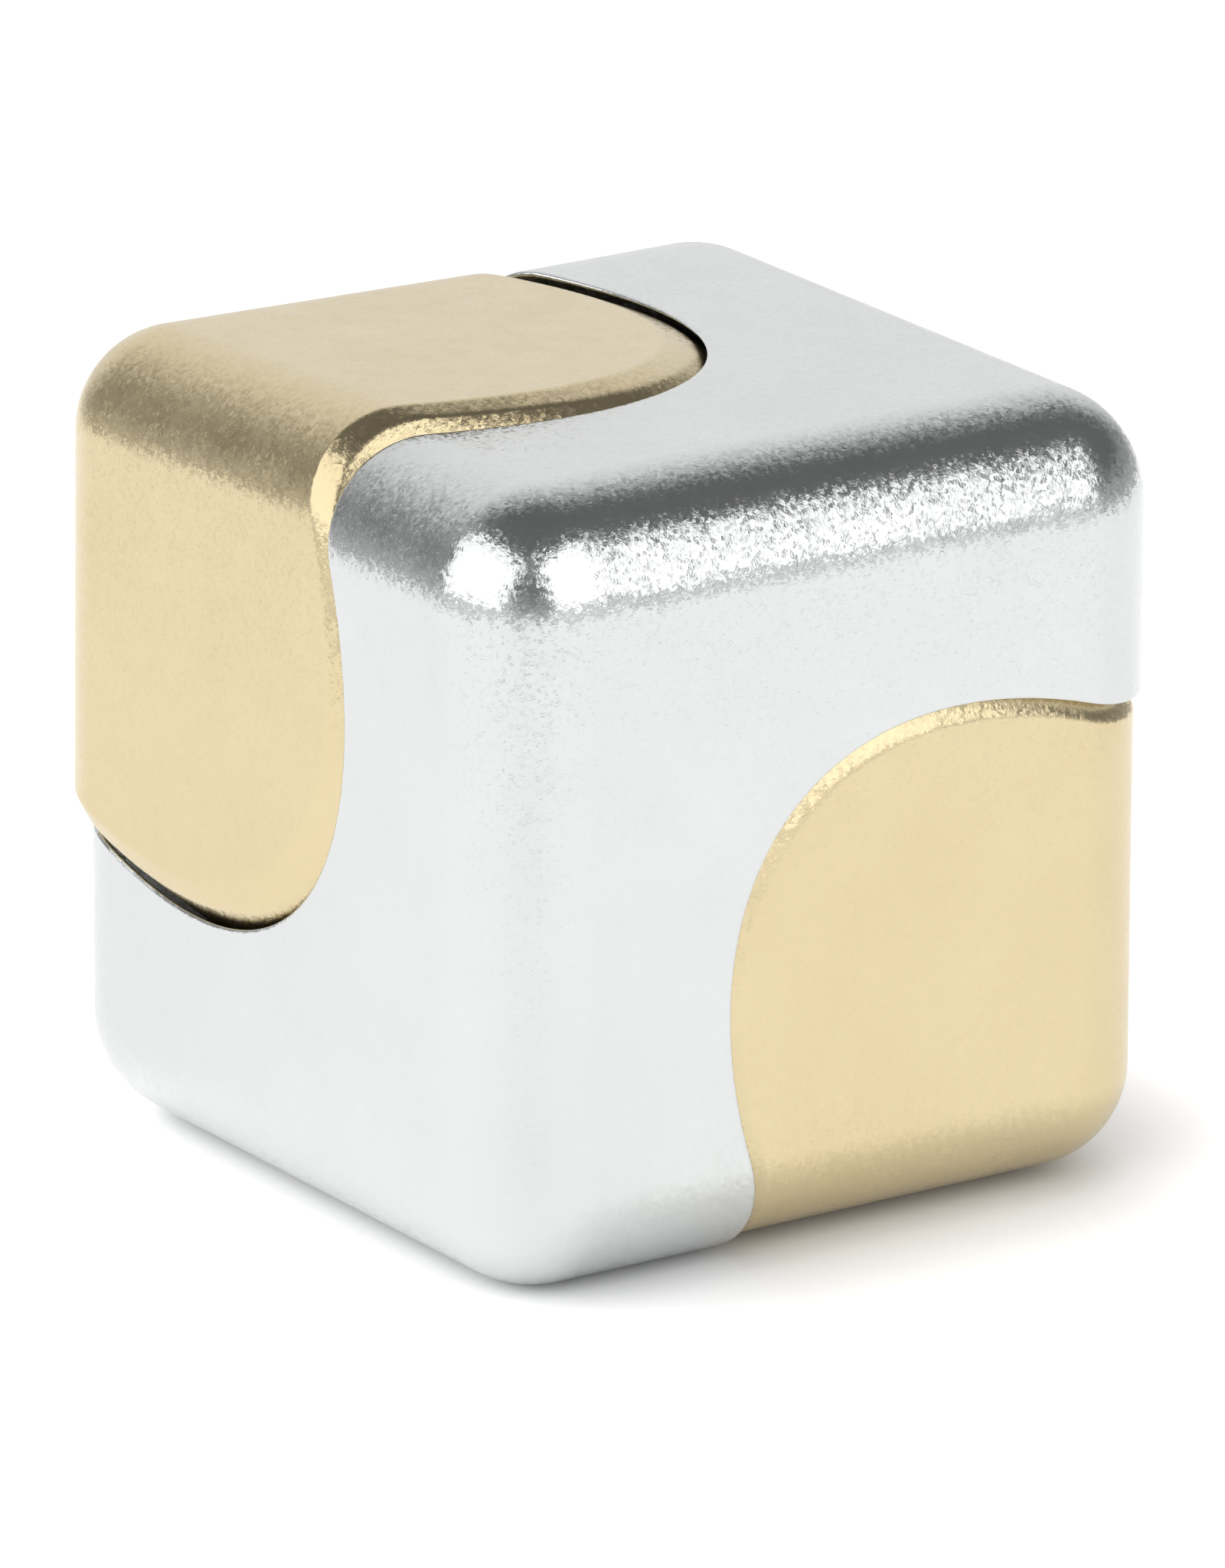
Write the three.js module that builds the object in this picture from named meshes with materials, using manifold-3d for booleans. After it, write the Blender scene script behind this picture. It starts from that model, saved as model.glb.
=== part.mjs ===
// A cube whose two opposite corners spin. The body keeps six corners of a rounded cube; two
// identical caps fill round pockets at the other two corners and turn together about the
// cube's body diagonal, on a small ball bearing pressed into the middle of the body.
//
// Millimetres, +Z up. The origin is the centre of the body's bottom face.
// "Along the diagonal" means from the cube's centre towards the upper cap's corner.

import * as THREE from 'three';
import Module from 'manifold-3d';
import { ConvexGeometry } from 'three/addons/geometries/ConvexGeometry.js';
import { RoundedBoxGeometry } from 'three/addons/geometries/RoundedBoxGeometry.js';
import { mergeVertices } from 'three/addons/utils/BufferGeometryUtils.js';

const wasm = await Module();
wasm.setup();

// Cube
const SIDE = 26;
const BODY_EDGE_RADIUS = 3.7;
const CAP_EDGE_RADIUS = 3.4;
const EDGE_STEPS = 5;
const SPIN_AXIS = new THREE.Vector3(-1, 1, 1).normalize();

// Pockets in the body and the web that is left between them
const POCKET_RADIUS = 12.15;
const POCKET_FLOOR = 3.7;
const POCKET_SIDES = 80;
const OUTSIDE = SIDE;
const OVERRUN = 1;

// Caps, each given in its own place before the pair is shifted along the diagonal. The upper
// one is clamped a few degrees round from the faces of the cube.
const CAP_RADIUS = 11.95;
const CAP_BOTTOM = 4.45;
const CAP_CHAMFER_WIDTH = 0.35;
const CAP_CHAMFER_DROP = 0.5;
const CAP_BOSS_RADIUS = 4.2;
const CAP_SHOULDER = 3.2;
const CAP_POST_RADIUS = 3.12;
const CAP_POST_END = 0.5;
const CAP_HOLE_RADIUS = 2.06;
const CAP_HOLE_END = 8.5;
const CAP_SHIFT = 0.45;
const UPPER_CAP_TURN = THREE.MathUtils.degToRad(3);

// Bearing, R188 size: 6.35 x 12.7 x 4.762
const BEARING_BORE = 3.175;
const BEARING_RADIUS = 6.35;
const BEARING_HALF_WIDTH = 2.381;
const BALL_RADIUS = 0.992;
const BALL_COUNT = 10;
const BALL_SIDES = 14;
const BALL_BANDS = 8;
const PITCH_RADIUS = (BEARING_BORE + BEARING_RADIUS) / 2;
const RACE_CLEARANCE = 0.04;
const RACE_RADIUS = BALL_RADIUS + RACE_CLEARANCE;
const RACE_STEPS = 6;
const INNER_LAND = 4.0;
const OUTER_LAND = 5.52;
const RING_CHAMFER = 0.2;
const RING_SIDES = 40;

// Shields, each in a step at one side of the outer ring
const SHIELD_STEP_RADIUS = 5.82;
const SHIELD_STEP_FLOOR = 1.9;
const SHIELD_RADIUS = 5.76;
const SHIELD_HOLE = 4.14;
const SHIELD_THICKNESS = 0.22;
const SHIELD_CENTRE = 2.08;

// Cage
const CAGE_INNER = 4.34;
const CAGE_OUTER = 5.18;
const CAGE_LOW = -1.4;
const CAGE_HIGH = 0.45;
const CAGE_POCKET_RADIUS = 1.05;

// Retaining ring, in a groove of the bore on the lower side of the bearing
const CLIP_OUTER = 6.8;
const CLIP_INNER = 5.9;
const CLIP_THICKNESS = 0.5;
const CLIP_CENTRE = -2.76;
const CLIP_OPENING = THREE.MathUtils.degToRad(50);
const CLIP_LUG_RADIUS = 0.75;
const CLIP_LUG_HOLE = 0.35;
const CLIP_LUG_PITCH = 5.75;
const CLIP_LUG_BLEND = 0.2;
const CLIP_CURVE_STEPS = 12;

// Fits and the bore through the web
const FIT = 0.04;
const BORE_RADIUS = BEARING_RADIUS + FIT;
const BORE_LIP_RADIUS = 5.6;
const GROOVE_CLEARANCE = 0.1;
const GROOVE_RADIUS = CLIP_OUTER + GROOVE_CLEARANCE;

// Axle stud that draws the two caps together, M4
const STUD_RADIUS = 2;
const STUD_LENGTH = 14;
const STUD_CHAMFER = 0.4;
const STUD_CENTRE = 0.25;
const HEX_RADIUS = 1.15;
const HEX_DEPTH = 2.2;
const HEX_SIDES = 6;

const silver = new THREE.MeshStandardMaterial({ color: 0xdfe3e3, roughness: 0.35, metalness: 1 });
const gold = new THREE.MeshStandardMaterial({ color: 0xd8c08a, roughness: 0.35, metalness: 1 });
const bearingSteel = new THREE.MeshStandardMaterial({ color: 0xb9bcc0, roughness: 0.2, metalness: 1 });
const ballSteel = new THREE.MeshStandardMaterial({ color: 0xd2d5d9, roughness: 0.08, metalness: 1 });
const springSteel = new THREE.MeshStandardMaterial({ color: 0x4c4a49, roughness: 0.45, metalness: 1 });
const nylon = new THREE.MeshStandardMaterial({ color: 0xe9e4d4, roughness: 0.6, metalness: 0 });
const blackSteel = new THREE.MeshStandardMaterial({ color: 0x2c2c2e, roughness: 0.5, metalness: 1 });

function solid(geometry) {
  const bare = geometry.clone();
  bare.deleteAttribute('normal');
  bare.deleteAttribute('uv');
  const closed = mergeVertices(bare);
  return new wasm.Manifold(new wasm.Mesh({
    numProp: 3,
    vertProperties: Float32Array.from(closed.attributes.position.array),
    triVerts: Uint32Array.from(closed.index.array),
  }));
}

function geometryOf(made) {
  const mesh = made.getMesh();
  const geometry = new THREE.BufferGeometry();
  geometry.setAttribute('position', new THREE.BufferAttribute(mesh.vertProperties, 3));
  geometry.setIndex(new THREE.BufferAttribute(mesh.triVerts, 1));
  geometry.computeVertexNormals();
  return geometry;
}

// A profile of [radius, height] points, turned about Z.
function turned(profile, sides = RING_SIDES) {
  const points = profile.map(([radius, height]) => new THREE.Vector2(radius, height));
  return new THREE.LatheGeometry(points, sides).rotateX(Math.PI / 2);
}

// A profile that closes on itself, for a ring.
function ring(profile, sides = RING_SIDES) {
  return turned([...profile, profile[0]], sides);
}

function rod(radius, low, high, sides = RING_SIDES) {
  return turned([[0, low], [radius, low], [radius, high], [0, high]], sides);
}

function washer(inner, outer, low, high) {
  return ring([[inner, low], [outer, low], [outer, high], [inner, high]]);
}

// Turns a shape made about Z so that it lies about the cube's diagonal.
function alongDiagonal(geometry) {
  const turn = new THREE.Quaternion().setFromUnitVectors(new THREE.Vector3(0, 0, 1), SPIN_AXIS);
  return geometry.clone().applyQuaternion(turn);
}

function roundedCube(edgeRadius) {
  return new RoundedBoxGeometry(SIDE, SIDE, SIDE, EDGE_STEPS, edgeRadius);
}

// The bore as one stepped tool: lip at the upper end, groove for the retaining ring below.
function boreTool() {
  const grooveLow = CLIP_CENTRE - CLIP_THICKNESS / 2 - FIT;
  const grooveHigh = CLIP_CENTRE + CLIP_THICKNESS / 2 + FIT;
  const lip = BEARING_HALF_WIDTH + FIT;
  return turned([
    [0, -POCKET_FLOOR - OVERRUN],
    [BORE_RADIUS, -POCKET_FLOOR - OVERRUN],
    [BORE_RADIUS, grooveLow],
    [GROOVE_RADIUS, grooveLow],
    [GROOVE_RADIUS, grooveHigh],
    [BORE_RADIUS, grooveHigh],
    [BORE_RADIUS, lip],
    [BORE_LIP_RADIUS, lip],
    [BORE_LIP_RADIUS, POCKET_FLOOR + OVERRUN],
    [0, POCKET_FLOOR + OVERRUN],
  ]);
}

function bodyGeometry() {
  const upperPocket = rod(POCKET_RADIUS, POCKET_FLOOR, OUTSIDE, POCKET_SIDES);
  const lowerPocket = rod(POCKET_RADIUS, -OUTSIDE, -POCKET_FLOOR, POCKET_SIDES);
  let body = solid(roundedCube(BODY_EDGE_RADIUS));
  for (const tool of [upperPocket, lowerPocket, boreTool()]) {
    body = body.subtract(solid(alongDiagonal(tool)));
  }
  return geometryOf(body);
}

function vertices(geometry) {
  const position = geometry.attributes.position;
  const at = (_, index) => new THREE.Vector3().fromBufferAttribute(position, index);
  return Array.from({ length: position.count }, at);
}

// The plug with the cube's corner on it. It is convex, so its chamfered rim is the hull of a
// narrower plug that reaches the cube's surface and a full one that stops short of it.
function plugGeometry() {
  const plug = (radius) => solid(alongDiagonal(rod(radius, CAP_BOTTOM, OUTSIDE, POCKET_SIDES)));
  const corner = solid(roundedCube(CAP_EDGE_RADIUS));
  const drop = SPIN_AXIS.clone().multiplyScalar(-CAP_CHAMFER_DROP).toArray();
  const narrow = corner.intersect(plug(CAP_RADIUS - CAP_CHAMFER_WIDTH));
  const full = corner.translate(drop).intersect(plug(CAP_RADIUS));
  const outline = [narrow, full].flatMap((part) => vertices(geometryOf(part)));
  return new ConvexGeometry(outline);
}

function capGeometry() {
  const boss = rod(CAP_BOSS_RADIUS, CAP_SHOULDER, CAP_BOTTOM + OVERRUN);
  const post = rod(CAP_POST_RADIUS, CAP_POST_END, CAP_SHOULDER + OVERRUN);
  const hole = rod(CAP_HOLE_RADIUS, CAP_POST_END - OVERRUN, CAP_HOLE_END);
  return geometryOf(solid(plugGeometry())
    .add(solid(alongDiagonal(boss)))
    .add(solid(alongDiagonal(post)))
    .subtract(solid(alongDiagonal(hole))));
}

// Points of a race groove between two heights, as [radius, height].
function race(side, halfHeight) {
  return Array.from({ length: RACE_STEPS + 1 }, (_, i) => {
    const height = halfHeight * (1 - 2 * i / RACE_STEPS);
    return [PITCH_RADIUS + side * Math.sqrt(RACE_RADIUS ** 2 - height ** 2), height];
  });
}

function outerRing() {
  const end = BEARING_HALF_WIDTH;
  const grooveHalf = Math.sqrt(RACE_RADIUS ** 2 - (OUTER_LAND - PITCH_RADIUS) ** 2);
  return ring([
    [SHIELD_STEP_RADIUS, -end],
    [BEARING_RADIUS - RING_CHAMFER, -end],
    [BEARING_RADIUS, -end + RING_CHAMFER],
    [BEARING_RADIUS, end - RING_CHAMFER],
    [BEARING_RADIUS - RING_CHAMFER, end],
    [SHIELD_STEP_RADIUS, end],
    [SHIELD_STEP_RADIUS, SHIELD_STEP_FLOOR],
    [OUTER_LAND, SHIELD_STEP_FLOOR],
    ...race(1, grooveHalf),
    [OUTER_LAND, -SHIELD_STEP_FLOOR],
    [SHIELD_STEP_RADIUS, -SHIELD_STEP_FLOOR],
  ]);
}

function innerRing() {
  const end = BEARING_HALF_WIDTH;
  const grooveHalf = Math.sqrt(RACE_RADIUS ** 2 - (PITCH_RADIUS - INNER_LAND) ** 2);
  return ring([
    [BEARING_BORE, end - RING_CHAMFER],
    [BEARING_BORE, -end + RING_CHAMFER],
    [BEARING_BORE + RING_CHAMFER, -end],
    [INNER_LAND, -end],
    ...race(-1, grooveHalf).reverse(),
    [INNER_LAND, end],
    [BEARING_BORE + RING_CHAMFER, end],
  ]);
}

function ballPlace(index) {
  const angle = 2 * Math.PI * index / BALL_COUNT;
  return new THREE.Vector3(PITCH_RADIUS * Math.cos(angle), PITCH_RADIUS * Math.sin(angle), 0);
}

function ball(radius) {
  return new THREE.SphereGeometry(radius, BALL_SIDES, BALL_BANDS);
}

function cageGeometry() {
  let cage = solid(washer(CAGE_INNER, CAGE_OUTER, CAGE_LOW, CAGE_HIGH));
  for (let i = 0; i < BALL_COUNT; i += 1) {
    cage = cage.subtract(solid(ball(CAGE_POCKET_RADIUS)).translate(ballPlace(i).toArray()));
  }
  return geometryOf(cage);
}

// An open ring with a drilled lug at each end for the pliers.
function clipGeometry() {
  const from = CLIP_OPENING / 2;
  const to = 2 * Math.PI - from;
  const lugs = [from, to].map((angle) => new THREE.Vector2(Math.cos(angle), Math.sin(angle))
    .multiplyScalar(CLIP_LUG_PITCH));
  const shape = new THREE.Shape();
  shape.absarc(0, 0, CLIP_OUTER, from, to, false);
  shape.absarc(lugs[1].x, lugs[1].y, CLIP_LUG_RADIUS, to, to + Math.PI, false);
  shape.absarc(0, 0, CLIP_INNER, to - CLIP_LUG_BLEND, from + CLIP_LUG_BLEND, true);
  shape.absarc(lugs[0].x, lugs[0].y, CLIP_LUG_RADIUS, from + Math.PI, from + 2 * Math.PI, false);
  for (const lug of lugs) {
    const hole = new THREE.Path();
    hole.absarc(lug.x, lug.y, CLIP_LUG_HOLE, 0, 2 * Math.PI, true);
    shape.holes.push(hole);
  }
  const depth = CLIP_THICKNESS;
  const options = { depth, bevelEnabled: false, curveSegments: CLIP_CURVE_STEPS };
  return new THREE.ExtrudeGeometry(shape, options).translate(0, 0, -depth / 2);
}

function studGeometry() {
  const end = STUD_LENGTH / 2;
  const stud = solid(turned([
    [0, -end],
    [STUD_RADIUS - STUD_CHAMFER, -end],
    [STUD_RADIUS, -end + STUD_CHAMFER],
    [STUD_RADIUS, end - STUD_CHAMFER],
    [STUD_RADIUS - STUD_CHAMFER, end],
    [0, end],
  ]));
  const socket = rod(HEX_RADIUS, end - HEX_DEPTH, end + OVERRUN, HEX_SIDES);
  return geometryOf(stud.subtract(solid(socket)));
}

const cube = new THREE.Group();
const core = new THREE.Group();
const spindle = new THREE.Group();
core.position.z = SIDE / 2;
spindle.quaternion.setFromUnitVectors(new THREE.Vector3(0, 0, 1), SPIN_AXIS);
cube.add(core);
core.add(spindle);

function place(name, geometry, material, parent) {
  const mesh = new THREE.Mesh(geometry, material);
  mesh.name = name;
  parent.add(mesh);
  return mesh;
}

place('body', bodyGeometry(), silver, core);

const capShape = capGeometry();
const capShift = SPIN_AXIS.clone().multiplyScalar(CAP_SHIFT);
const upperCap = place('upper_cap', capShape, gold, core);
upperCap.position.copy(capShift);
upperCap.quaternion.setFromAxisAngle(SPIN_AXIS, UPPER_CAP_TURN);
const lowerCap = place('lower_cap', capShape, gold, core);
lowerCap.position.copy(capShift);
lowerCap.quaternion.setFromAxisAngle(new THREE.Vector3(1, 1, 0).normalize(), Math.PI);

place('bearing_outer_ring', outerRing(), bearingSteel, spindle);
place('bearing_inner_ring', innerRing(), bearingSteel, spindle);
place('bearing_cage', cageGeometry(), nylon, spindle);
for (let i = 0; i < BALL_COUNT; i += 1) {
  const name = `ball_${String(i + 1).padStart(2, '0')}`;
  place(name, ball(BALL_RADIUS), ballSteel, spindle).position.copy(ballPlace(i));
}

for (const [name, side] of [['upper_shield', 1], ['lower_shield', -1]]) {
  const shield = washer(SHIELD_HOLE, SHIELD_RADIUS, -SHIELD_THICKNESS / 2, SHIELD_THICKNESS / 2);
  place(name, shield, bearingSteel, spindle).position.z = side * SHIELD_CENTRE;
}

place('retaining_ring', clipGeometry(), springSteel, spindle).position.z = CLIP_CENTRE;

for (const [name, side] of [['upper_shim', 1], ['lower_shim', -1]]) {
  const low = BEARING_HALF_WIDTH + FIT;
  const high = CAP_SHOULDER + side * CAP_SHIFT - FIT;
  const shim = washer(CAP_POST_RADIUS + FIT, INNER_LAND, -(high - low) / 2, (high - low) / 2);
  place(name, shim, bearingSteel, spindle).position.z = side * (low + high) / 2;
}

place('axle_stud', studGeometry(), blackSteel, spindle).position.z = STUD_CENTRE;

export default cube;
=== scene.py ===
"""The looks of a cube whose opposite gold corner caps spin together about its body diagonal.

Sizes are in millimetres until a mesh is made, and in metres from there on. Most pieces are
grids wrapped round the spin diagonal: every row of a grid is given by its distance from the
diagonal and its height along it, measured from the cube's centre towards the upper cap.
"""

import math

import bmesh
import bpy
import numpy as np
from mathutils import Matrix, Vector


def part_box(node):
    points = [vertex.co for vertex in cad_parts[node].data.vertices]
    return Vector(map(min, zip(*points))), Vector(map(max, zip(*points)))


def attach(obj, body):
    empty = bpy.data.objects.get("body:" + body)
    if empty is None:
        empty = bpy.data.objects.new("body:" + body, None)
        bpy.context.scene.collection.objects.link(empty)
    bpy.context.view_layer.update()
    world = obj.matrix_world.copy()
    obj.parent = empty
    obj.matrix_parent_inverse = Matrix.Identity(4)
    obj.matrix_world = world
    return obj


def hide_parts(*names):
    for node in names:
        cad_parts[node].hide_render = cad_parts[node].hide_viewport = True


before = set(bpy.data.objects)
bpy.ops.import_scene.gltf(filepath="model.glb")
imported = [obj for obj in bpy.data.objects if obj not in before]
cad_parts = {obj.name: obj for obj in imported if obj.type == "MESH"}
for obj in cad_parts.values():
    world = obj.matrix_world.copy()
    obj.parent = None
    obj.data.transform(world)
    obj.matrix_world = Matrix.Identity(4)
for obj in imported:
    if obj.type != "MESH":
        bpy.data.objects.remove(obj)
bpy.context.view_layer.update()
MM = 0.001

# The cube
BODY_LOW, BODY_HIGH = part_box("body")
HALF = (BODY_HIGH.x - BODY_LOW.x) / MM / 2
CENTRE = np.array((BODY_LOW + BODY_HIGH) / 2) / MM
BODY_EDGE = 3.7
CAP_EDGE = 3.4
AXIS = np.array([-1.0, 1.0, 1.0]) / math.sqrt(3)
SIDEWAYS = np.cross(np.array([1.0, 1.0, 0.0]) / math.sqrt(2), AXIS)
ACROSS = np.cross(AXIS, SIDEWAYS)
FAR = 2 * HALF

# Pockets and bore of the body
POCKET_RADIUS = 12.15
POCKET_FLOOR = 3.7
POCKET_FILLET = 0.35
RIM_ROUND = 0.22
RIM_DEPTH = 1.6 * RIM_ROUND
BORE_RADIUS = 6.39
BORE_LIP = 5.6
LIP_HEIGHT = 2.42
GROOVE_RADIUS = 6.9
GROOVE_LOW, GROOVE_HIGH = -3.05, -2.47
SMALL_CHAMFER = 0.2

# Caps, in their own place before the pair's shift along the diagonal
CAP_RADIUS = 11.95
CAP_BOTTOM = 4.45
CHAMFER_WIDTH = 0.35
CHAMFER_DROP = 0.5
CHAMFER_ROUND = 0.07
BOSS_RADIUS = 4.2
BOSS_FILLET = 0.3
SHOULDER = 3.2
SHOULDER_CHAMFER = 0.1
POST_RADIUS = 3.12
POST_END = 0.5
HOLE_RADIUS = 2.06
HOLE_END = 8.5
DRILL_POINT = 1
CAP_SHIFT = 0.45
UPPER_CAP_TURN = math.radians(3)

# Bearing and the small pieces round it
BEARING_BORE = 3.175
BEARING_RADIUS = 6.35
BEARING_HALF = 2.381
BEARING_ROUND = 0.2
PITCH_RADIUS = (BEARING_BORE + BEARING_RADIUS) / 2
BALL_RADIUS = 0.992
BALL_COUNT = 10
RACE_RADIUS = BALL_RADIUS + 0.04
INNER_LAND = 4.0
INNER_LAND_CHAMFER = 0.08
OUTER_LAND = 5.52
SHIELD_STEP = 5.82
SHIELD_STEP_CHAMFER = 0.06
SHIELD_STEP_FLOOR = 1.9
SHIELD_CENTRE = 2.08
SHIELD_THICKNESS = 0.2
SHIM_GAP = 0.04
PRESSED_EDGE = 0.05
CAGE_INNER, CAGE_OUTER = 4.34, 5.18
CAGE_CROWN, CAGE_BASE = 0.55, -1.45
CAGE_POCKET = BALL_RADIUS + 0.06
CLIP_CENTRE = -2.76
CLIP_FLAT = 0.21
CLIP_EDGE = 0.04
STUD_RADIUS = 2.0
STUD_LENGTH = 14.0
STUD_CENTRE = 0.25
THREAD_PITCH = 0.7
THREAD_DEPTH = 0.34
SOCKET_HALF = 0.98
SOCKET_DEPTH = 2

# How finely the grids are cut
SKIN_COLUMNS = 432
SKIN_ROWS = 150
CROWN_ROWS = 84
TURNED_COLUMNS = 128
TURNED_SHARP = 35
CAGE_COLUMNS = 720
STUD_COLUMNS = 96
BALL_COLUMNS = 48
HALVINGS = 40

# Grains of the blasted skin: their size, and how far each leans
GRAIN = 0.13
GRAIN_TILT = 0.11

# Floor and light. Angles are in degrees and distances in metres. The floor's painted contact
# shadow leans away from the side that most of the light comes from
FLOOR_RADIUS = 0.18
FLOOR_CENTRE = (0.017, 0.025)
FLOOR_SIDES = 96
FLOOR_DROP = 0.02 * MM
CONTACT_SHADOW = 0.009
LIGHT_FROM = (-0.62, 0.28, 0.73)
WALL_AZIMUTH = 68
WALL_ELEVATION = 20
PANEL_DISTANCE = 0.8

# Camera: its angles are azimuth, elevation and roll. It aims a little past the cube's centre
CAMERA_ANGLES = (34.0, 18.15, 0.24)
CAMERA_DISTANCE = 18 * 2 * HALF * MM
SENSOR = 36
LENS = 338.871
AIM_BELOW = 0.9953
AIM_LEFT = 0.0291


# ---------------------------------------------------------------- shapes


def inside_depth(points, edge):
    """Signed distance of points, taken from the cube's centre, to a rounded cube's surface."""
    past = np.abs(points) - (HALF - edge)
    outer = np.linalg.norm(np.maximum(past, 0), axis=-1)
    return outer + np.minimum(past.max(axis=-1), 0) - edge


def leaves_cube(start, direction, edge):
    """How far from start, going along direction, the rounded cube's surface lies."""
    low = np.zeros(start.shape[:-1])
    high = np.full(start.shape[:-1], FAR)
    for _ in range(HALVINGS):
        middle = (low + high) / 2
        inside = inside_depth(start + middle[..., None] * direction, edge) < 0
        low = np.where(inside, middle, low)
        high = np.where(inside, high, middle)
    return (low + high) / 2


def columns(count):
    """The angle of each column of a grid."""
    return np.arange(count) * (2 * math.pi / count)


def outward(angles):
    """Unit vectors away from the diagonal, one for each angle round it."""
    return np.cos(angles)[:, None] * SIDEWAYS + np.sin(angles)[:, None] * ACROSS


def skin_height(radius, angles, side, edge):
    """Height along the diagonal, on the side given, of the cube's skin at a radius."""
    start = radius * outward(angles)
    return side * leaves_cube(start, side * AXIS, edge)


def bend(first, corner, last, steps):
    """Rows of a rounded corner, each given as (radii, heights)."""
    rows = []
    for i in range(steps + 1):
        t = i / steps
        weights = (1 - t) ** 2, 2 * t * (1 - t), t**2
        pulls = list(zip(weights, (first, corner, last)))
        rows.append(tuple(sum(weight * point[k] for weight, point in pulls) for k in (0, 1)))
    return rows


def between(first, last, steps):
    """Rows that run straight from first to last, without either end."""
    return [
        tuple(first[k] + (last[k] - first[k]) * i / steps for k in (0, 1))
        for i in range(1, steps)
    ]


def arc(centre, radius, start, end, steps):
    """Points of a circular arc as (distance, height), with angles in degrees."""
    turns = np.radians(np.linspace(start, end, steps + 1))
    return [
        (centre[0] + radius * math.cos(t), centre[1] + radius * math.sin(t))
        for t in turns
    ]


def rounded(points, radius):
    """A closed profile with each of its corners rounded."""
    rows = []
    for i, corner in enumerate(points):
        ends = []
        for other in (points[i - 1], points[(i + 1) % len(points)]):
            away = np.subtract(other, corner)
            length = np.linalg.norm(away)
            ends.append(np.add(corner, away / length * min(radius, length * 0.4)))
        rows += bend(ends[0], corner, ends[1], 3)
    return rows


# ---------------------------------------------------------------- meshes


def mesh_object(name, vertices, faces, sharp_degrees=None):
    """A smooth closed mesh with its faces pointing out, and sharp edges above an angle."""
    mesh = bpy.data.meshes.new(name)
    mesh.from_pydata(vertices, [], faces)
    solid = bmesh.new()
    solid.from_mesh(mesh)
    if solid.calc_volume(signed=True) < 0:
        bmesh.ops.reverse_faces(solid, faces=solid.faces)
    solid.to_mesh(mesh)
    solid.free()
    mesh.shade_smooth()
    if sharp_degrees is not None:
        mesh.set_sharp_from_angle(angle=math.radians(sharp_degrees))
    piece = bpy.data.objects.new(name, mesh)
    bpy.context.scene.collection.objects.link(piece)
    return piece


def wrapped(name, rows, count, closed, sharp_degrees=None, centre=CENTRE):
    """A grid wrapped round the diagonal. Rows are (radii, heights), and a radius or height
    may be one number for the whole row. A closed grid's last row joins its first one; an
    open grid starts and ends with a row of radius 0, which becomes a single point."""
    angles = columns(count)
    away = outward(angles)
    grid = []
    for radii, heights in rows:
        radii = np.broadcast_to(radii, angles.shape)[:, None]
        heights = np.broadcast_to(heights, angles.shape)[:, None]
        grid.append(radii * away + heights * AXIS)
    around = np.arange(count)
    after = np.roll(around, -1)
    poles = []
    if not closed:
        poles = [grid.pop(0)[0], grid.pop()[0]]
    vertices = (np.concatenate(grid) + centre) * MM
    total = len(grid)
    faces = []
    for row in range(total if closed else total - 1):
        here = row * count
        there = (row + 1) % total * count
        faces.append(np.stack([here + around, here + after, there + after, there + around], 1))
    faces = np.concatenate(faces).tolist()
    if poles:
        vertices = np.concatenate([vertices, (np.array(poles) + centre) * MM])
        top, bottom = len(vertices) - 2, len(vertices) - 1
        last = (total - 1) * count
        faces += [(top, int(b), int(a)) for a, b in zip(around, after)]
        faces += [(bottom, int(last + a), int(last + b)) for a, b in zip(around, after)]
    return mesh_object(name, vertices.tolist(), faces, sharp_degrees)


def turned(name, profile):
    """A ring turned round the diagonal from a closed profile."""
    return wrapped(name, profile, TURNED_COLUMNS, True, TURNED_SHARP)


def finished(piece, replaced, body, material):
    """Gives a piece its material and body, and lets it stand for its CAD node."""
    piece.data.materials.append(material)
    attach(piece, body)
    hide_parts(replaced)


# ---------------------------------------------------------------- body


def rim(side):
    """Rows of the body's rounded rim at a pocket, from the skin into the pocket."""
    angles = columns(SKIN_COLUMNS)
    outer = POCKET_RADIUS + RIM_ROUND
    first = outer, skin_height(outer, angles, side, BODY_EDGE)
    corner = POCKET_RADIUS, skin_height(POCKET_RADIUS, angles, side, BODY_EDGE)
    last = POCKET_RADIUS, corner[1] - side * RIM_DEPTH
    return bend(first, corner, last, 6)


def skin():
    """Rows of the body's outside, from the upper pocket's rim to the lower one's. They are
    spaced by their angle from the diagonal, with a few more close to each rim."""
    angles = columns(SKIN_COLUMNS)
    outer = POCKET_RADIUS + RIM_ROUND
    top = np.arctan2(outer, skin_height(outer, angles, 1, BODY_EDGE))
    bottom = np.arctan2(outer, skin_height(outer, angles, -1, BODY_EDGE))
    ease = [0.1, 0.3, 0.6]
    steps = ease + list(range(1, SKIN_ROWS)) + [SKIN_ROWS - e for e in reversed(ease)]
    rows = []
    for step in steps:
        tilt = top + (bottom - top) * step / SKIN_ROWS
        away = outward(angles) * np.sin(tilt)[:, None] + AXIS * np.cos(tilt)[:, None]
        reach = leaves_cube(np.zeros_like(away), away, BODY_EDGE)
        rows.append((reach * np.sin(tilt), reach * np.cos(tilt)))
    return rows


def pocket(side):
    """Rows of a pocket, from below its rim to the edge of the bore."""
    top = rim(side)[-1]
    foot = POCKET_RADIUS, side * (POCKET_FLOOR + POCKET_FILLET)
    corner = POCKET_RADIUS, side * POCKET_FLOOR
    floor = POCKET_RADIUS - POCKET_FILLET, side * POCKET_FLOOR
    mouth = (BORE_LIP if side > 0 else BORE_RADIUS) + SMALL_CHAMFER
    edge = mouth, side * POCKET_FLOOR
    wall = between(top, foot, 6) + bend(foot, corner, floor, 4)
    return wall + between(floor, edge, 4) + [edge]


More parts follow.
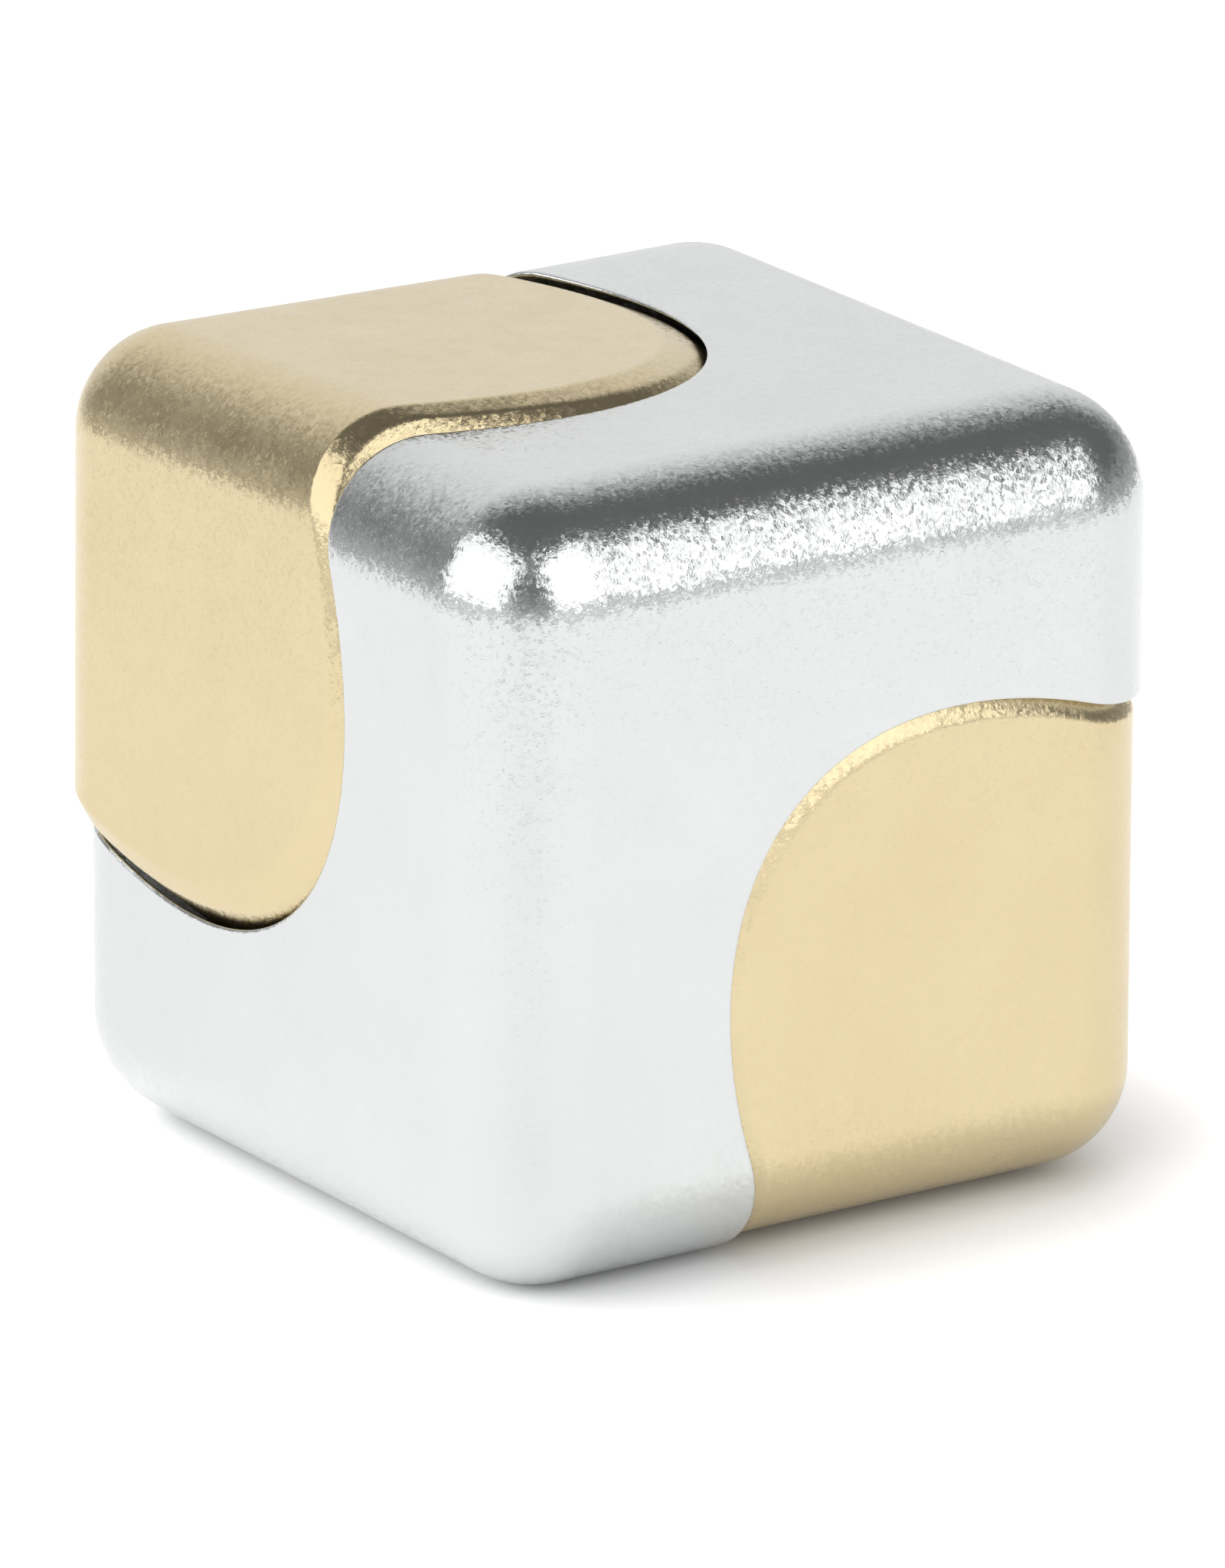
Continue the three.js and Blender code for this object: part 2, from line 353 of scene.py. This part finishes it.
def bore():
    """Rows of the bore through the web, from the lower pocket to the upper one."""
    chamfer = SMALL_CHAMFER
    return [
        (BORE_RADIUS, -POCKET_FLOOR + chamfer),
        (BORE_RADIUS, GROOVE_LOW),
        (GROOVE_RADIUS, GROOVE_LOW),
        (GROOVE_RADIUS, GROOVE_HIGH),
        (BORE_RADIUS, GROOVE_HIGH),
        (BORE_RADIUS, 0),
        (BORE_RADIUS, LIP_HEIGHT),
        (BORE_LIP + chamfer, LIP_HEIGHT),
        (BORE_LIP, LIP_HEIGHT + chamfer),
        (BORE_LIP, POCKET_FLOOR - chamfer),
    ]


def body():
    """The silver middle: skin, rims, pockets and bore as one grid."""
    rows = rim(1)[::-1] + skin() + rim(-1)
    rows += pocket(-1) + bore() + pocket(1)[::-1]
    return wrapped("silver_body", rows, SKIN_COLUMNS, True, 50)


# ---------------------------------------------------------------- caps


def cap():
    """The cap in its own place, made as a skin over the cube's corner, a chamfered rim, a
    plain wall, and the boss, post and tapped hole that meet the bearing."""
    angles = columns(SKIN_COLUMNS)

    def crown(radius):
        return radius, skin_height(radius, angles, 1, CAP_EDGE)

    upper = crown(CAP_RADIUS - CHAMFER_WIDTH)
    lower = CAP_RADIUS, crown(CAP_RADIUS)[1] - CHAMFER_DROP
    start = CAP_RADIUS - CHAMFER_WIDTH - CHAMFER_ROUND
    onto = between(upper, lower, round(CHAMFER_WIDTH / CHAMFER_ROUND))
    wall = CAP_RADIUS, lower[1] - 2 * CHAMFER_ROUND
    foot = CAP_RADIUS, CAP_BOTTOM + SMALL_CHAMFER
    rows = [crown(0)]
    rows += [crown(start * (i / CROWN_ROWS)) for i in range(1, CROWN_ROWS)]
    rows += [crown(start - CHAMFER_ROUND * 0.5)]
    rows += bend(crown(start), upper, onto[0], 4)
    rows += onto[1:-1]
    rows += bend(onto[-1], lower, wall, 4)
    rows += between(wall, foot, 10)
    rows += [
        foot,
        (CAP_RADIUS - SMALL_CHAMFER, CAP_BOTTOM),
        (CAP_RADIUS - 2, CAP_BOTTOM),
        (BOSS_RADIUS + 2, CAP_BOTTOM),
        (BOSS_RADIUS + BOSS_FILLET, CAP_BOTTOM),
        (BOSS_RADIUS + BOSS_FILLET / 3, CAP_BOTTOM - BOSS_FILLET / 3),
        (BOSS_RADIUS, CAP_BOTTOM - BOSS_FILLET),
        (BOSS_RADIUS, SHOULDER + SHOULDER_CHAMFER),
        (BOSS_RADIUS - SHOULDER_CHAMFER, SHOULDER),
        (POST_RADIUS, SHOULDER),
        (POST_RADIUS, POST_END + SMALL_CHAMFER),
        (POST_RADIUS - SMALL_CHAMFER, POST_END),
        (HOLE_RADIUS + SMALL_CHAMFER, POST_END),
        (HOLE_RADIUS, POST_END + SMALL_CHAMFER),
        (HOLE_RADIUS, HOLE_END / 2),
        (HOLE_RADIUS, HOLE_END - DRILL_POINT),
        (0, HOLE_END),
    ]
    return wrapped("cap", rows, SKIN_COLUMNS, False, 50)


def caps(material):
    """Both caps from one shape. The lower one is turned over about a line across the cube,
    and the upper one stands a few degrees round from the faces."""
    shift = Matrix.Translation(Vector(AXIS * CAP_SHIFT * MM))
    middle = Matrix.Translation(Vector(CENTRE * MM))
    over = Matrix.Rotation(math.pi, 4, Vector((1, 1, 0)))
    round_axis = Matrix.Rotation(UPPER_CAP_TURN, 4, Vector(AXIS))
    turns = {"upper_cap": round_axis, "lower_cap": over}
    shape = cap()
    for name, turn in turns.items():
        piece = bpy.data.objects.new(f"gold_{name}", shape.data.copy())
        piece.data.transform(shift @ middle @ turn @ middle.inverted())
        bpy.context.scene.collection.objects.link(piece)
        finished(piece, name, "cap_pair", material)
    bpy.data.objects.remove(shape)


# ---------------------------------------------------------------- bearing


def race(land, side):
    """A race groove's arc, from its upper edge to its lower one."""
    height = math.sqrt(RACE_RADIUS**2 - (land - PITCH_RADIUS) ** 2)
    top = math.degrees(math.atan2(height, abs(land - PITCH_RADIUS)))
    if side > 0:
        return arc((PITCH_RADIUS, 0), RACE_RADIUS, top, -top, 16)
    return arc((PITCH_RADIUS, 0), RACE_RADIUS, 180 - top, 180 + top, 16)


def outer_ring():
    """The outer race, with a step at each end for a shield."""
    end = BEARING_HALF
    upper = [
        (SHIELD_STEP + SHIELD_STEP_CHAMFER, end),
        (SHIELD_STEP, end - SHIELD_STEP_CHAMFER),
        (SHIELD_STEP, SHIELD_STEP_FLOOR),
        (OUTER_LAND, SHIELD_STEP_FLOOR),
    ]
    lower = [(radius, -height) for radius, height in reversed(upper)]
    outside = arc((BEARING_RADIUS - BEARING_ROUND, -end + BEARING_ROUND), BEARING_ROUND, -90, 0, 4)
    outside += arc((BEARING_RADIUS - BEARING_ROUND, end - BEARING_ROUND), BEARING_ROUND, 0, 90, 4)
    return turned("outer_race", upper + race(OUTER_LAND, 1) + lower + outside)


def inner_ring():
    """The inner race, whose bore takes the caps' posts."""
    end = BEARING_HALF
    chamfer = INNER_LAND_CHAMFER
    upper = [(INNER_LAND - chamfer, end), (INNER_LAND, end - chamfer)]
    lower = [(INNER_LAND, -end + chamfer), (INNER_LAND - chamfer, -end)]
    inside = arc((BEARING_BORE + BEARING_ROUND, -end + BEARING_ROUND), BEARING_ROUND, 270, 180, 4)
    inside += arc((BEARING_BORE + BEARING_ROUND, end - BEARING_ROUND), BEARING_ROUND, 180, 90, 4)
    return turned("inner_race", upper + race(INNER_LAND, -1) + lower + inside)


def shield(side):
    """A pressed disc with a raised bead near its outer edge and a lip at its hole."""
    top = [(4.14, 0.02), (4.3, 0.1), (4.9, 0.1), (5.1, 0.02), (5.5, 0.02), (5.76, 0.1)]
    loop = top + [(radius, height - SHIELD_THICKNESS) for radius, height in reversed(top)]
    loop = [(radius, side * (SHIELD_CENTRE + height)) for radius, height in loop]
    name = "upper_shield_disc" if side > 0 else "lower_shield_disc"
    return turned(name, rounded(loop, PRESSED_EDGE))


def shim(side):
    """A washer that fills the room between the inner race and a cap's shoulder."""
    low = BEARING_HALF + SHIM_GAP
    high = SHOULDER + side * CAP_SHIFT - SHIM_GAP
    inner, outer = POST_RADIUS + SHIM_GAP, INNER_LAND
    loop = [(inner, low), (outer, low), (outer, high), (inner, high)]
    name = "upper_shim_washer" if side > 0 else "lower_shim_washer"
    loop = [(radius, side * height) for radius, height in loop]
    return turned(name, rounded(loop, PRESSED_EDGE))


def ball_centre(index):
    """Balls start at the same place as in CAD: on the turned X axis, then evenly round."""
    turn = Vector((0, 0, 1)).rotation_difference(Vector(AXIS)).to_matrix()
    angle = 2 * math.pi * index / BALL_COUNT
    place = Vector((math.cos(angle), math.sin(angle), 0)) * PITCH_RADIUS
    return np.array(turn @ place)


def ball(index):
    """A ball whose poles lie along the diagonal, since a grid's ends have radius 0."""
    rows = arc((0, 0), BALL_RADIUS, 90, -90, BALL_COLUMNS // 2)
    rows[0], rows[-1] = (0, BALL_RADIUS), (0, -BALL_RADIUS)
    centre = CENTRE + ball_centre(index)
    return wrapped(f"steel_ball_{index + 1:02d}", rows, BALL_COLUMNS, False, None, centre)


def cage():
    """A crown cage: a ring whose upper edge dips round each ball."""
    angles = columns(CAGE_COLUMNS)
    first = ball_centre(0)
    start = math.atan2(first @ ACROSS, first @ SIDEWAYS)
    step = 2 * math.pi / BALL_COUNT
    off = (angles - start + step / 2) % step - step / 2
    ramp, lip, foot = 0.09, 0.05, 0.1

    def top(radius):
        across = np.abs(radius * np.sin(off))
        hollow = -np.sqrt(np.maximum(CAGE_POCKET**2 - across**2, 0))
        return hollow + np.clip((across - CAGE_POCKET) / ramp, 0, 1) * CAGE_CROWN

    rows = [
        (CAGE_INNER, top(CAGE_INNER) - lip),
        (CAGE_INNER + lip, top(CAGE_INNER)),
        (CAGE_OUTER - lip, top(CAGE_OUTER)),
        (CAGE_OUTER, top(CAGE_OUTER) - lip),
        (CAGE_OUTER, CAGE_BASE + foot),
        (CAGE_OUTER - foot, CAGE_BASE),
        (CAGE_INNER + foot, CAGE_BASE),
        (CAGE_INNER, CAGE_BASE + foot),
    ]
    return wrapped("crown_cage", rows, CAGE_COLUMNS, True, 40)


# ---------------------------------------------------------------- fasteners


def clip_outline():
    """The retaining ring's outline and its two holes, as closed loops of points."""
    opening, blend = 25, 11.459
    outer, inner, lug, hole, pitch = 6.8, 5.9, 0.75, 0.35, 5.75
    low, high = opening, 360 - opening
    lugs = [arc((0, 0), pitch, angle, angle, 0)[0] for angle in (low, high)]
    outline = arc((0, 0), outer, low, high, 90)
    outline += arc(lugs[1], lug, high, high + 180, 16)
    outline += arc((0, 0), inner, high - blend, low + blend, 80)
    outline += arc(lugs[0], lug, low + 180, low + 360, 16)
    return [outline] + [arc(centre, hole, 0, -360, 20)[:-1] for centre in lugs]


def clip():
    """The retaining ring: an open ring with a drilled lug at each end, cut from sheet."""
    curve = bpy.data.curves.new("clip_outline", "CURVE")
    curve.dimensions = "2D"
    curve.fill_mode = "BOTH"
    curve.extrude = CLIP_FLAT
    curve.bevel_depth = CLIP_EDGE
    curve.offset = -CLIP_EDGE
    curve.bevel_resolution = 1
    for loop in clip_outline():
        spline = curve.splines.new("POLY")
        spline.points.add(len(loop) - 1)
        for point, (x, y) in zip(spline.points, loop):
            point.co = (x, y, 0, 1)
        spline.use_cyclic_u = True
    drawn = bpy.data.objects.new("clip_outline", curve)
    bpy.context.scene.collection.objects.link(drawn)
    graph = bpy.context.evaluated_depsgraph_get()
    made = bpy.data.meshes.new_from_object(drawn.evaluated_get(graph))
    bpy.data.objects.remove(drawn)
    turn = Vector((0, 0, 1)).rotation_difference(Vector(AXIS)).to_matrix().to_4x4()
    place = Matrix.Translation(Vector((CENTRE + AXIS * CLIP_CENTRE) * MM))
    made.transform(place @ turn @ Matrix.Scale(MM, 4))
    solid = bmesh.new()
    solid.from_mesh(made)
    bmesh.ops.remove_doubles(solid, verts=solid.verts, dist=1e-7)
    bmesh.ops.recalc_face_normals(solid, faces=solid.faces)
    solid.to_mesh(made)
    solid.free()
    made.shade_smooth()
    made.set_sharp_from_angle(angle=math.radians(TURNED_SHARP))
    made.name = "internal_circlip"
    piece = bpy.data.objects.new("internal_circlip", made)
    bpy.context.scene.collection.objects.link(piece)
    return piece


def stud():
    """The threaded stud, with a hexagon socket in its upper end."""
    angles = columns(STUD_COLUMNS)
    half = STUD_LENGTH / 2
    core = STUD_RADIUS - THREAD_DEPTH
    end_radius = core - 0.1
    end_margin, lead_in, chamfer, drill_point = 0.02, 0.5, 0.08, 0.3
    steps = round(STUD_LENGTH / (THREAD_PITCH / 12))

    def thread(height):
        turns = (height / THREAD_PITCH - angles / (2 * math.pi)) % 1
        ridge = np.clip(1.15 - 2.3 * np.abs(turns - 0.5), 0, 0.95)
        lead = np.clip((half - abs(height)) / lead_in, 0, 1)
        return core + THREAD_DEPTH * ridge * lead

    rows = [(0, -half), (end_radius, -half)]
    last = half - end_margin
    rows += [(thread(height), height) for height in np.linspace(-last, last, steps)]
    sixth = math.pi / 3
    socket = SOCKET_HALF / np.cos((angles + sixth / 2) % sixth - sixth / 2)
    rows += [
        (end_radius, half),
        (socket + chamfer, half),
        (socket, half - chamfer),
        (socket, half - SOCKET_DEPTH),
        (0, half - SOCKET_DEPTH - drill_point),
    ]
    rows = [(radius, height + STUD_CENTRE) for radius, height in rows]
    return wrapped("threaded_stud", rows, STUD_COLUMNS, False, 40)


# ---------------------------------------------------------------- materials


def node(tree, kind, **settings):
    """A new shader node with its settings."""
    made = tree.nodes.new(kind)
    for name, value in settings.items():
        setattr(made, name, value)
    return made


def object_noise(tree, scale, detail):
    """A noise in the piece's own coordinates, with scale given in features per metre."""
    place = node(tree, "ShaderNodeTexCoord")
    noise = node(tree, "ShaderNodeTexNoise")
    noise.inputs["Scale"].default_value = scale
    noise.inputs["Detail"].default_value = detail
    tree.links.new(place.outputs["Object"], noise.inputs["Vector"])
    return noise


def ranged(tree, source, low, high, start=0.3, end=0.7):
    """Spreads a value between start and end over the range from low to high."""
    spread = node(tree, "ShaderNodeMapRange")
    spread.inputs["From Min"].default_value = start
    spread.inputs["From Max"].default_value = end
    spread.inputs["To Min"].default_value = low
    spread.inputs["To Max"].default_value = high
    tree.links.new(source, spread.inputs["Value"])
    return spread.outputs["Result"]


def two_tones(tree, factor, first, second):
    """A mix of two colours."""
    mix = node(tree, "ShaderNodeMix", data_type="RGBA")
    mix.inputs["A"].default_value = (*first, 1)
    mix.inputs["B"].default_value = (*second, 1)
    tree.links.new(factor, mix.inputs["Factor"])
    return mix.outputs["Result"]


def surface(name, metallic):
    """A new material, with its node tree and its main shader."""
    material = bpy.data.materials.new(name)
    material.use_nodes = True
    tree = material.node_tree
    shader = tree.nodes["Principled BSDF"]
    shader.inputs["Metallic"].default_value = metallic
    return material, tree, shader


def blasted_aluminium(name, colour, deeper, roughness):
    """Bead-blasted and anodised aluminium: each grain of the blast is tilted its own way."""
    material, tree, shader = surface(name, 1.0)
    links = tree.links
    tone = object_noise(tree, 260, 3)
    links.new(
        two_tones(tree, ranged(tree, tone.outputs["Fac"], 0, 1), colour, deeper),
        shader.inputs["Base Color"],
    )
    patches = object_noise(tree, 900, 4)
    links.new(
        ranged(tree, patches.outputs["Fac"], roughness * 0.9, roughness * 1.15),
        shader.inputs["Roughness"],
    )
    place = node(tree, "ShaderNodeTexCoord")
    grains = node(tree, "ShaderNodeTexVoronoi")
    grains.inputs["Scale"].default_value = 1 / (GRAIN * MM)
    links.new(place.outputs["Object"], grains.inputs["Vector"])
    centred = node(tree, "ShaderNodeVectorMath", operation="SUBTRACT")
    centred.inputs[1].default_value = (0.5, 0.5, 0.5)
    links.new(grains.outputs["Color"], centred.inputs[0])
    tilt = node(tree, "ShaderNodeVectorMath", operation="SCALE")
    tilt.inputs["Scale"].default_value = GRAIN_TILT
    links.new(centred.outputs["Vector"], tilt.inputs[0])
    flat = node(tree, "ShaderNodeNewGeometry")
    tilted = node(tree, "ShaderNodeVectorMath", operation="ADD")
    links.new(flat.outputs["Normal"], tilted.inputs[0])
    links.new(tilt.outputs["Vector"], tilted.inputs[1])
    unit = node(tree, "ShaderNodeVectorMath", operation="NORMALIZE")
    links.new(tilted.outputs["Vector"], unit.inputs[0])
    pits = object_noise(tree, 1 / (GRAIN * 0.6 * MM), 2)
    bump = node(tree, "ShaderNodeBump")
    bump.inputs["Strength"].default_value = 0.35
    bump.inputs["Distance"].default_value = 0.02 * MM
    links.new(pits.outputs["Fac"], bump.inputs["Height"])
    links.new(unit.outputs["Vector"], bump.inputs["Normal"])
    links.new(bump.outputs["Normal"], shader.inputs["Normal"])
    return material


def steel(name, colour, deeper, roughness, scratch):
    """Machined steel with fine marks. Scratch is the marks' height in millimetres."""
    material, tree, shader = surface(name, 1.0)
    links = tree.links
    tone = object_noise(tree, 500, 3)
    links.new(
        two_tones(tree, ranged(tree, tone.outputs["Fac"], 0, 1), colour, deeper),
        shader.inputs["Base Color"],
    )
    marks = object_noise(tree, 9000, 3)
    links.new(
        ranged(tree, marks.outputs["Fac"], roughness * 0.8, roughness * 1.3),
        shader.inputs["Roughness"],
    )
    bump = node(tree, "ShaderNodeBump")
    bump.inputs["Strength"].default_value = 0.4
    bump.inputs["Distance"].default_value = scratch * MM
    links.new(marks.outputs["Fac"], bump.inputs["Height"])
    links.new(bump.outputs["Normal"], shader.inputs["Normal"])
    return material


def moulded_nylon():
    """Natural nylon, slightly see-through and finely mottled."""
    material, tree, shader = surface("natural_nylon", 0.0)
    links = tree.links
    tone = ranged(tree, object_noise(tree, 700, 3).outputs["Fac"], 0, 1)
    links.new(
        two_tones(tree, tone, (0.78, 0.73, 0.6), (0.7, 0.64, 0.5)), shader.inputs["Base Color"]
    )
    shader.inputs["Roughness"].default_value = 0.45
    shader.inputs["Subsurface Weight"].default_value = 0.15
    shader.inputs["Subsurface Radius"].default_value = (0.0006, 0.0005, 0.0004)
    bump = node(tree, "ShaderNodeBump")
    bump.inputs["Strength"].default_value = 0.3
    bump.inputs["Distance"].default_value = 0.01 * MM
    links.new(object_noise(tree, 6000, 2).outputs["Fac"], bump.inputs["Height"])
    links.new(bump.outputs["Normal"], shader.inputs["Normal"])
    return material


silver = blasted_aluminium("silver_anodised", (0.63, 0.648, 0.643), (0.61, 0.628, 0.623), 0.2)
gold = blasted_aluminium("gold_anodised", (0.645, 0.54, 0.34), (0.625, 0.52, 0.32), 0.25)
race_steel = steel("ground_steel", (0.56, 0.57, 0.59), (0.5, 0.51, 0.53), 0.18, 0.004)
ball_steel = steel("polished_steel", (0.68, 0.69, 0.7), (0.64, 0.65, 0.67), 0.06, 0.001)
shield_steel = steel("bright_pressed_steel", (0.62, 0.63, 0.65), (0.56, 0.57, 0.59), 0.24, 0.006)
shim_steel = steel("rolled_steel", (0.58, 0.58, 0.6), (0.5, 0.5, 0.52), 0.3, 0.008)
spring_steel = steel("phosphated_steel", (0.12, 0.115, 0.11), (0.08, 0.078, 0.075), 0.45, 0.01)
black_steel = steel("black_oxide", (0.06, 0.06, 0.065), (0.035, 0.035, 0.04), 0.4, 0.01)
nylon = moulded_nylon()

finished(body(), "body", "cube_body", silver)
caps(gold)
finished(outer_ring(), "bearing_outer_ring", "cube_body", race_steel)
finished(inner_ring(), "bearing_inner_ring", "cap_pair", race_steel)
finished(cage(), "bearing_cage", "ball_cage", nylon)
for index in range(BALL_COUNT):
    name = f"ball_{index + 1:02d}"
    finished(ball(index), name, f"{name}_roller", ball_steel)
finished(shield(1), "upper_shield", "cube_body", shield_steel)
finished(shield(-1), "lower_shield", "cube_body", shield_steel)
finished(shim(1), "upper_shim", "cap_pair", shim_steel)
finished(shim(-1), "lower_shim", "cap_pair", shim_steel)
finished(clip(), "retaining_ring", "cube_body", spring_steel)
finished(stud(), "axle_stud", "cap_pair", black_steel)


# ---------------------------------------------------------------- floor, light and camera


def pale_floor():
    """A round white sheet that glows a little, darkened close under the cube into a painted
    contact shadow. It lies a hair below the cube's flat underside, so that the two are never in
    one plane."""
    turns = [2 * math.pi * i / FLOOR_SIDES for i in range(FLOOR_SIDES)]
    x, y = FLOOR_CENTRE
    edge = [(x + FLOOR_RADIUS * math.cos(t), y + FLOOR_RADIUS * math.sin(t)) for t in turns]
    mesh = bpy.data.meshes.new("floor")
    vertices = [(*place, -FLOOR_DROP) for place in edge]
    mesh.from_pydata(vertices, [], [tuple(range(FLOOR_SIDES))])
    floor = bpy.data.objects.new("floor", mesh)
    bpy.context.scene.collection.objects.link(floor)
    material, tree, shader = surface("pale_floor", 0.0)
    shader.inputs["Base Color"].default_value = (0.72, 0.72, 0.72, 1)
    shader.inputs["Roughness"].default_value = 0.6
    shader.inputs["Specular IOR Level"].default_value = 0.1
    # Painted contact shadow: ambient occlusion, leaning towards LIGHT_FROM, darkens the floor's
    # glow close under the cube.
    leaning = node(tree, "ShaderNodeCombineXYZ")
    for axis, value in zip(("X", "Y", "Z"), LIGHT_FROM):
        leaning.inputs[axis].default_value = value
    near = node(tree, "ShaderNodeAmbientOcclusion", samples=8)
    near.inputs["Distance"].default_value = CONTACT_SHADOW
    tree.links.new(leaning.outputs["Vector"], near.inputs["Normal"])
    lit = ranged(tree, near.outputs["AO"], 0, 1, 0.22, 0.85)
    glow = two_tones(tree, lit, (0, 0, 0), (1, 1, 1))
    tree.links.new(glow, shader.inputs["Emission Color"])
    shader.inputs["Emission Strength"].default_value = 0.8
    mesh.materials.append(material)


def aimed(azimuth, elevation):
    """A direction from degrees round from +X and degrees above the floor."""
    round_z, up = math.radians(azimuth), math.radians(elevation)
    return Vector(
        (math.cos(round_z) * math.cos(up), math.sin(round_z) * math.cos(up), math.sin(up))
    )


def studio_sky():
    """A dim room, with a pale wall behind the cube and some light all round near the floor."""
    world = bpy.data.worlds.new("studio")
    bpy.context.scene.world = world
    world.use_nodes = True
    tree = world.node_tree
    back = tree.nodes["Background"]
    place = node(tree, "ShaderNodeTexCoord")
    towards_wall = node(tree, "ShaderNodeVectorMath", operation="DOT_PRODUCT")
    towards_wall.inputs[1].default_value = aimed(WALL_AZIMUTH, WALL_ELEVATION)
    tree.links.new(place.outputs["Generated"], towards_wall.inputs[0])
    wall = ranged(tree, towards_wall.outputs["Value"], 0.16, 1.04, 0.58, 0.99)
    wall.node.interpolation_type = "SMOOTHSTEP"
    split = node(tree, "ShaderNodeSeparateXYZ")
    tree.links.new(place.outputs["Generated"], split.inputs["Vector"])
    low = ranged(tree, split.outputs["Z"], 0.7, 0.14, -0.2, 0.35)
    brighter = node(tree, "ShaderNodeMath", operation="MAXIMUM")
    tree.links.new(wall, brighter.inputs[0])
    tree.links.new(low, brighter.inputs[1])
    grey = node(tree, "ShaderNodeCombineColor")
    for channel in ("Red", "Green", "Blue"):
        tree.links.new(brighter.outputs["Value"], grey.inputs[channel])
    tree.links.new(grey.outputs["Color"], back.inputs["Color"])


def softbox(name, azimuth, elevation, width, height, radiance):
    """A lamp panel that faces the cube, with angles in degrees and sizes in metres.
    Radiance is how bright it looks from the front."""
    lamp = bpy.data.lights.new(name, "AREA")
    lamp.shape = "RECTANGLE"
    lamp.size = width
    lamp.size_y = height
    lamp.energy = radiance * math.pi * width * height
    panel = bpy.data.objects.new(name, lamp)
    towards = aimed(azimuth, elevation)
    panel.location = Vector(CENTRE * MM) + towards * PANEL_DISTANCE
    panel.rotation_euler = towards.to_track_quat("Z", "Y").to_euler()
    bpy.context.scene.collection.objects.link(panel)


def camera():
    """A long lens, seen from the front left and a little above, with a slight roll."""
    azimuth, elevation, roll = (math.radians(angle) for angle in CAMERA_ANGLES)
    back = Vector(
        (
            -math.sin(azimuth) * math.cos(elevation),
            -math.cos(azimuth) * math.cos(elevation),
            math.sin(elevation),
        )
    )
    data = bpy.data.cameras.new("camera")
    data.sensor_width = SENSOR
    data.lens = LENS
    data.clip_start = 0.01
    data.clip_end = 20
    eye = bpy.data.objects.new("camera", data)
    turn = back.to_track_quat("Z", "Y") @ Matrix.Rotation(roll, 3, "Z").to_quaternion()
    up = turn @ Vector((0, 1, 0))
    right = turn @ Vector((1, 0, 0))
    aim = Vector(CENTRE * MM) - up * AIM_BELOW * MM - right * AIM_LEFT * MM
    eye.location = aim + back * CAMERA_DISTANCE
    eye.rotation_euler = turn.to_euler()
    bpy.context.scene.collection.objects.link(eye)
    bpy.context.scene.camera = eye


pale_floor()
studio_sky()
softbox("left_softbox", 177, 28.5, 1.2, 0.8, 1.5)
softbox("right_softbox", -79, 28, 0.84, 0.8, 1.7)
camera()
bpy.context.scene.view_settings.view_transform = "Standard"
